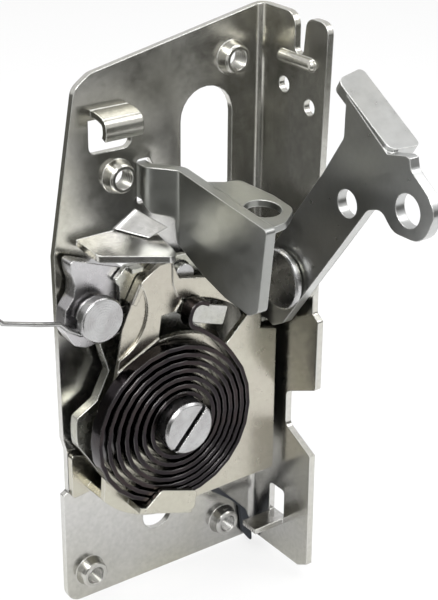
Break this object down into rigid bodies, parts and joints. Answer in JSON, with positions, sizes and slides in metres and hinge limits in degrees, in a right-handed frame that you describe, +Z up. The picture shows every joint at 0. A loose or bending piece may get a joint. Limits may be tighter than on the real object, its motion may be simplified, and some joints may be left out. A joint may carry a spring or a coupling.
{
  "type": "car door lock",
  "caption": "Door lock mechanism on a folded steel plate, with a sprung catch, a pawl, a locking lever and a handle lever.",
  "frame": {"origin": "on the back face of the main plate, midway between its two lower tapped collars", "axes": "+Y out of the back face of the main plate, +Z up along the fold, +X towards the side flange"},
  "size_m": [0.0895, 0.0744, 0.161],
  "materials": {
    "zinc_plate": "zinc plated sheet, mottled grey with a yellow tint",
    "cover_steel": "bright plated sheet with a pale sheen",
    "turned_steel": "turned steel with fine rings",
    "lever_steel": "plated steel, satin",
    "pawl_steel": "plated steel, satin",
    "spring_steel": "oiled black spring steel, glossy",
    "wire_steel": "drawn steel wire",
    "black_rubber": "matt black rubber"
  },
  "bodies": {
    "frame": {"lock_plate": "zinc_plate", "cover_plate": "cover_steel", "spring_arbor": "turned_steel", "pawl_pin": "turned_steel", "pawl_spring": "wire_steel", "release_stud": "turned_steel", "handle_rivet": "turned_steel", "handle_spacer": "zinc_plate", "handle_washer": "lever_steel", "catch_spacer": "zinc_plate", "catch_washer": "zinc_plate", "rubber_stop": "black_rubber"},
    "catch": {"catch_rotor": "lever_steel", "clock_spring": "spring_steel"},
    "pawl": {"pawl": "pawl_steel"},
    "release": {"release_lever": "lever_steel"},
    "lock": {"locking_lever": "lever_steel"},
    "handle": {"handle_lever": "lever_steel"}
  },
  "joints": [
    {"name": "catch_turn", "type": "hinge", "parent": "frame", "child": "catch", "pos_m": [-0.0026, -0.0044, 0.0474], "axis": [0, -1, 0], "range_deg": [-14, 0], "stiffness_Nm_per_rad": 0.05},
    {"name": "pawl_turn", "type": "hinge", "parent": "frame", "child": "pawl", "pos_m": [-0.0229, -0.005, 0.0808], "axis": [0, -1, 0], "range_deg": [0, 6.4]},
    {"name": "release_turn", "type": "hinge", "parent": "frame", "child": "release", "pos_m": [0.0026, -0.0078, 0.0863], "axis": [0, 1, 0], "range_deg": [0, 3.2]},
    {"name": "lock_tilt", "type": "hinge", "parent": "frame", "child": "lock", "pos_m": [0.0016, -0.0018, 0.1078], "axis": [1, 0, 0], "range_deg": [-8, 8]},
    {"name": "handle_turn", "type": "hinge", "parent": "frame", "child": "handle", "pos_m": [0.028, -0.0213, 0.0828], "axis": [-1, 0, 0], "range_deg": [0, 7], "stiffness_Nm_per_rad": 0.1, "springref_deg": -11.46}
  ],
  "couplings": [
    {"joint": "release_turn", "follows": "handle_turn", "ratio": 0.385},
    {"joint": "pawl_turn", "follows": "handle_turn", "ratio": 0.79}
  ]
}
